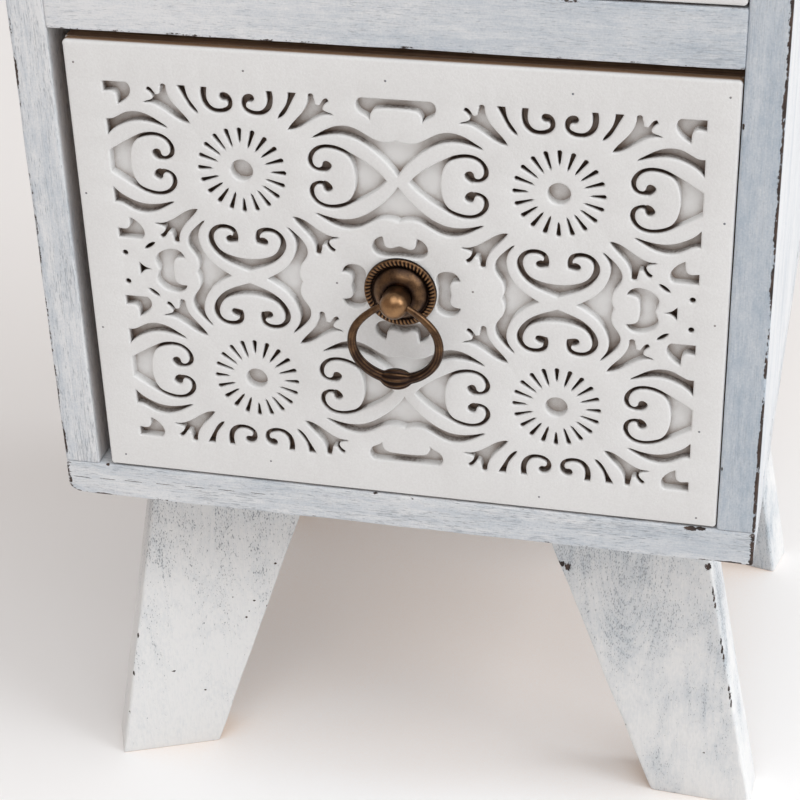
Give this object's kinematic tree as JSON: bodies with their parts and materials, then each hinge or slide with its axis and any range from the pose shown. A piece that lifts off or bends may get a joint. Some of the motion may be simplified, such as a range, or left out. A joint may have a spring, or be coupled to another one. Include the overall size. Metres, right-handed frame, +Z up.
{
  "type": "semainier",
  "caption": "Tall narrow whitewashed chest with a drawer for each weekday, pierced fretwork fronts with brass ring pulls, on splayed board legs.",
  "frame": {"origin": "on the floor, under the middle of the whole piece's box", "axes": "+Z up, front towards -Y, +X to the right of someone facing the front"},
  "size_m": [0.284, 0.2752, 1.5125],
  "materials": {
    "whitewashed_wood": "brushed whitewash with worn brown edges",
    "leg_paint": "thin white paint over open grain",
    "fret_paint": "off-white satin paint",
    "backing_paint": "white paint, thin at its edges",
    "bare_wood": "bare brown wood",
    "plywood": "bare plywood",
    "antique_brass": "antique brass, dark in its hollows",
    "zinc_steel": "zinc plated"
  },
  "bodies": {
    "carcass": {"side_left": "whitewashed_wood", "side_right": "whitewashed_wood", "base_board": "whitewashed_wood", "top_board": "whitewashed_wood", "back_panel": "plywood", "front_rails": "whitewashed_wood", "drawer_runners": "bare_wood", "front_legs": "leg_paint", "rear_legs": "leg_paint", "leg_bolts": "zinc_steel", "carcass_screws": "zinc_steel"},
    "drawer_1": {"drawer_1_fret_panel": "fret_paint", "drawer_1_front_board": "backing_paint", "drawer_1_sides": "bare_wood", "drawer_1_back": "bare_wood", "drawer_1_bottom": "plywood", "drawer_1_pull_post": "antique_brass"},
    "ring_1": {"drawer_1_pull_ring": "antique_brass"},
    "drawer_2": {"drawer_2_fret_panel": "fret_paint", "drawer_2_front_board": "backing_paint", "drawer_2_sides": "bare_wood", "drawer_2_back": "bare_wood", "drawer_2_bottom": "plywood", "drawer_2_pull_post": "antique_brass"},
    "ring_2": {"drawer_2_pull_ring": "antique_brass"},
    "drawer_3": {"drawer_3_fret_panel": "fret_paint", "drawer_3_front_board": "backing_paint", "drawer_3_sides": "bare_wood", "drawer_3_back": "bare_wood", "drawer_3_bottom": "plywood", "drawer_3_pull_post": "antique_brass"},
    "ring_3": {"drawer_3_pull_ring": "antique_brass"},
    "drawer_4": {"drawer_4_fret_panel": "fret_paint", "drawer_4_front_board": "backing_paint", "drawer_4_sides": "bare_wood", "drawer_4_back": "bare_wood", "drawer_4_bottom": "plywood", "drawer_4_pull_post": "antique_brass"},
    "ring_4": {"drawer_4_pull_ring": "antique_brass"},
    "drawer_5": {"drawer_5_fret_panel": "fret_paint", "drawer_5_front_board": "backing_paint", "drawer_5_sides": "bare_wood", "drawer_5_back": "bare_wood", "drawer_5_bottom": "plywood", "drawer_5_pull_post": "antique_brass"},
    "ring_5": {"drawer_5_pull_ring": "antique_brass"},
    "drawer_6": {"drawer_6_fret_panel": "fret_paint", "drawer_6_front_board": "backing_paint", "drawer_6_sides": "bare_wood", "drawer_6_back": "bare_wood", "drawer_6_bottom": "plywood", "drawer_6_pull_post": "antique_brass"},
    "ring_6": {"drawer_6_pull_ring": "antique_brass"},
    "drawer_7": {"drawer_7_fret_panel": "fret_paint", "drawer_7_front_board": "backing_paint", "drawer_7_sides": "bare_wood", "drawer_7_back": "bare_wood", "drawer_7_bottom": "plywood", "drawer_7_pull_post": "antique_brass"},
    "ring_7": {"drawer_7_pull_ring": "antique_brass"}
  },
  "joints": [
    {"name": "drawer_1_slide", "type": "slide", "parent": "carcass", "child": "drawer_1", "axis": [0, -1, 0], "range_m": [0, 0.17]},
    {"name": "ring_1_swing", "type": "hinge", "parent": "drawer_1", "child": "ring_1", "pos_m": [0.0035, -0.13287, 0.24075], "axis": [-1, 0, 0], "range_deg": [-10, 190]},
    {"name": "drawer_2_slide", "type": "slide", "parent": "carcass", "child": "drawer_2", "axis": [0, -1, 0], "range_m": [0, 0.17]},
    {"name": "ring_2_swing", "type": "hinge", "parent": "drawer_2", "child": "ring_2", "pos_m": [0.0035, -0.13287, 0.43525], "axis": [-1, 0, 0], "range_deg": [-10, 190]},
    {"name": "drawer_3_slide", "type": "slide", "parent": "carcass", "child": "drawer_3", "axis": [0, -1, 0], "range_m": [0, 0.17]},
    {"name": "ring_3_swing", "type": "hinge", "parent": "drawer_3", "child": "ring_3", "pos_m": [0.0035, -0.13287, 0.62975], "axis": [-1, 0, 0], "range_deg": [-10, 190]},
    {"name": "drawer_4_slide", "type": "slide", "parent": "carcass", "child": "drawer_4", "axis": [0, -1, 0], "range_m": [0, 0.17]},
    {"name": "ring_4_swing", "type": "hinge", "parent": "drawer_4", "child": "ring_4", "pos_m": [0.0035, -0.13287, 0.82425], "axis": [-1, 0, 0], "range_deg": [-10, 190]},
    {"name": "drawer_5_slide", "type": "slide", "parent": "carcass", "child": "drawer_5", "axis": [0, -1, 0], "range_m": [0, 0.17]},
    {"name": "ring_5_swing", "type": "hinge", "parent": "drawer_5", "child": "ring_5", "pos_m": [0.0035, -0.13287, 1.01875], "axis": [-1, 0, 0], "range_deg": [-10, 190]},
    {"name": "drawer_6_slide", "type": "slide", "parent": "carcass", "child": "drawer_6", "axis": [0, -1, 0], "range_m": [0, 0.17]},
    {"name": "ring_6_swing", "type": "hinge", "parent": "drawer_6", "child": "ring_6", "pos_m": [0.0035, -0.13287, 1.21325], "axis": [-1, 0, 0], "range_deg": [-10, 190]},
    {"name": "drawer_7_slide", "type": "slide", "parent": "carcass", "child": "drawer_7", "axis": [0, -1, 0], "range_m": [0, 0.17]},
    {"name": "ring_7_swing", "type": "hinge", "parent": "drawer_7", "child": "ring_7", "pos_m": [0.0035, -0.13287, 1.40775], "axis": [-1, 0, 0], "range_deg": [-10, 190]}
  ]
}
